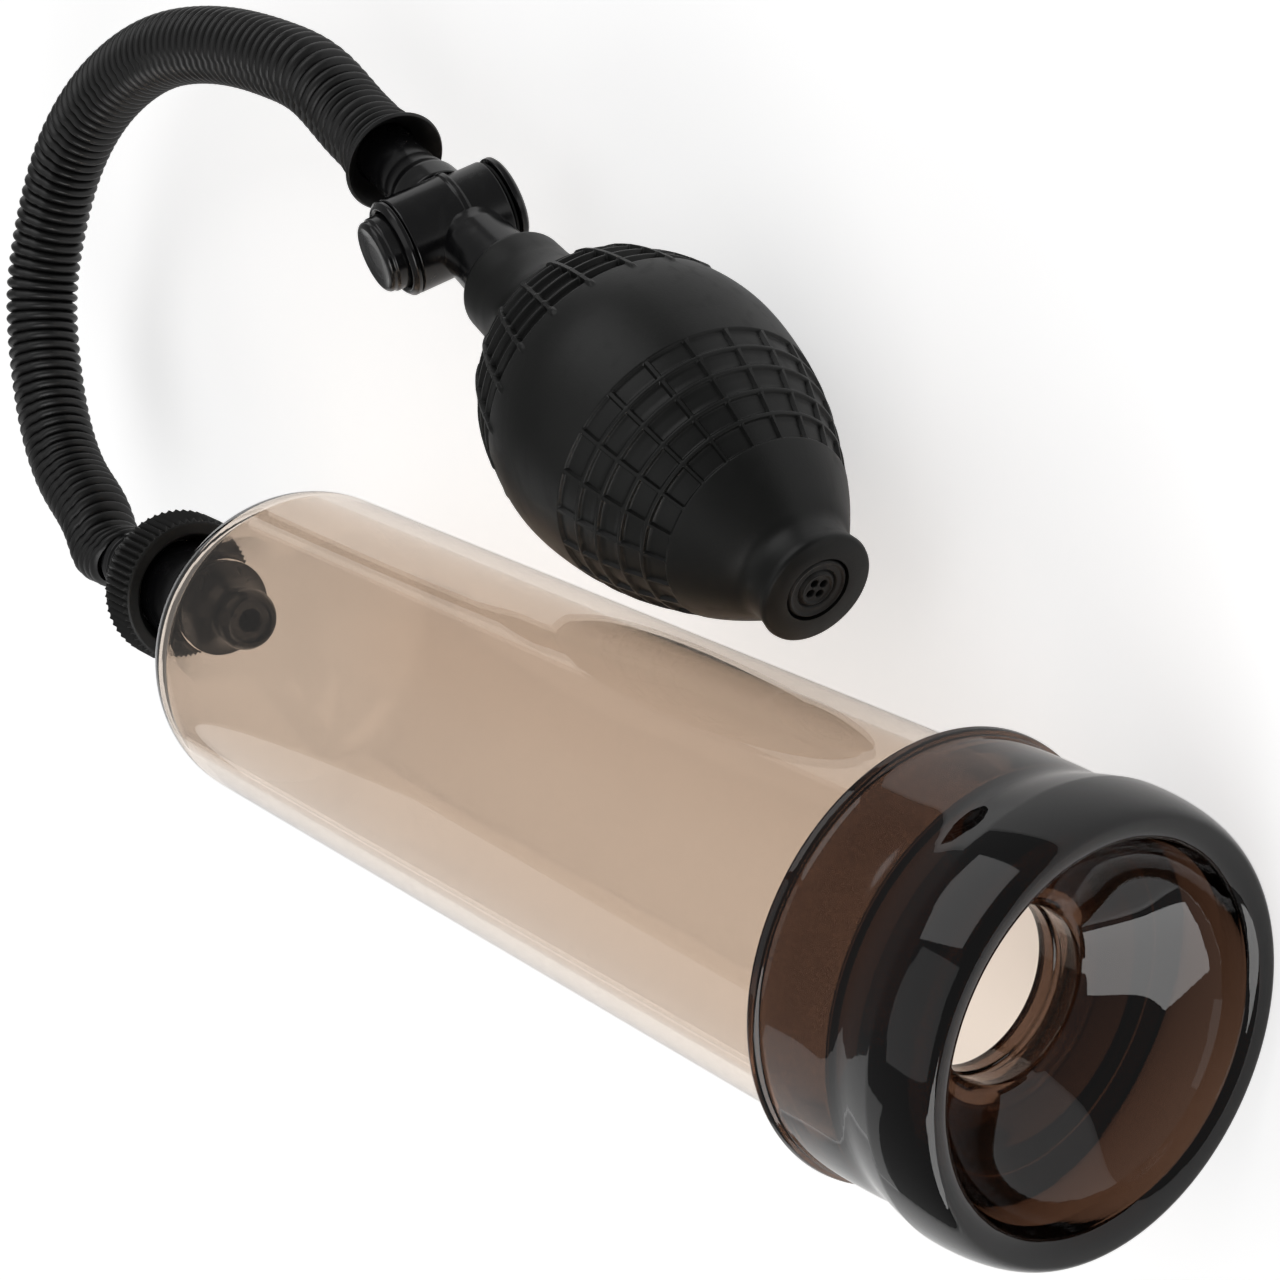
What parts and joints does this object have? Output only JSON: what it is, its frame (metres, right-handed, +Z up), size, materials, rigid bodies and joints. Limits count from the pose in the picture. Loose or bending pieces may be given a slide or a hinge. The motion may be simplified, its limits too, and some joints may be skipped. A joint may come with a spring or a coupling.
{
  "type": "hand squeeze vacuum pump",
  "caption": "Hand-squeezed vacuum pump: tinted clear cylinder with a soft entry sleeve, ribbed hose, push-button release valve and a rubber squeeze bulb.",
  "frame": {"origin": "middle of the bounding box's bottom, measured without the hose, on the table that the pump lies on", "axes": "+Z up; +Y from the sleeve's mouth towards the cylinder's closed end; +X from the cylinder towards the bulb"},
  "size_m": [0.1415, 0.3237, 0.0658],
  "materials": {
    "black_gloss_plastic": "gloss",
    "seal_rubber": "matt",
    "black_matt_plastic": "matt",
    "smoked_clear_plastic": "clear gloss",
    "smoked_soft_plastic": "clear gloss",
    "black_rubber": "satin",
    "spring_steel": "bright"
  },
  "bodies": {
    "pump": {"cylinder_tube": "smoked_clear_plastic", "inner_washer": "seal_rubber", "port_fitting": "black_gloss_plastic", "outer_washer": "seal_rubber", "dome_collar": "black_gloss_plastic", "port_ring": "seal_rubber", "hose_nipple": "black_gloss_plastic", "ribbed_hose": "black_rubber", "hose_cuff": "black_rubber", "valve_body": "black_gloss_plastic", "button_bezel": "black_gloss_plastic", "cap_gasket": "seal_rubber", "end_cap": "black_gloss_plastic", "squeeze_bulb": "black_rubber", "inlet_valve_cage": "black_gloss_plastic", "exhaust_insert": "black_matt_plastic", "exhaust_seat": "black_gloss_plastic"},
    "sleeve": {"entry_sleeve": "smoked_soft_plastic"},
    "nut": {"coupling_nut": "black_matt_plastic"},
    "button": {"release_button": "black_gloss_plastic", "release_plunger": "black_gloss_plastic", "plunger_seal": "seal_rubber", "release_spring": "spring_steel"},
    "inlet_disc": {"inlet_valve_disc": "seal_rubber"},
    "outlet_disc": {"exhaust_disc": "seal_rubber"}
  },
  "joints": [
    {"name": "sleeve_pull", "type": "slide", "parent": "pump", "child": "sleeve", "axis": [0, -0.9997, 0.0248], "range_m": [0, 0.012]},
    {"name": "nut_turn", "type": "hinge", "parent": "pump", "child": "nut", "pos_m": [-0.03201, 0.11348, 0.02722], "axis": [0, -0.9997, 0.0248], "range_deg": [0, 720]},
    {"name": "button_press", "type": "slide", "parent": "pump", "child": "button", "axis": [0.4583, -0.2024, -0.8654], "range_m": [0, 0.0025], "stiffness_N_per_m": 600, "springref_m": -0.0015},
    {"name": "inlet_disc_lift", "type": "slide", "parent": "pump", "child": "inlet_disc", "axis": [-0.3451, -0.9379, 0.0366], "range_m": [0, 0.0012]},
    {"name": "outlet_disc_lift", "type": "slide", "parent": "pump", "child": "outlet_disc", "axis": [-0.3451, -0.9379, 0.0366], "range_m": [0, 0.0012]}
  ]
}
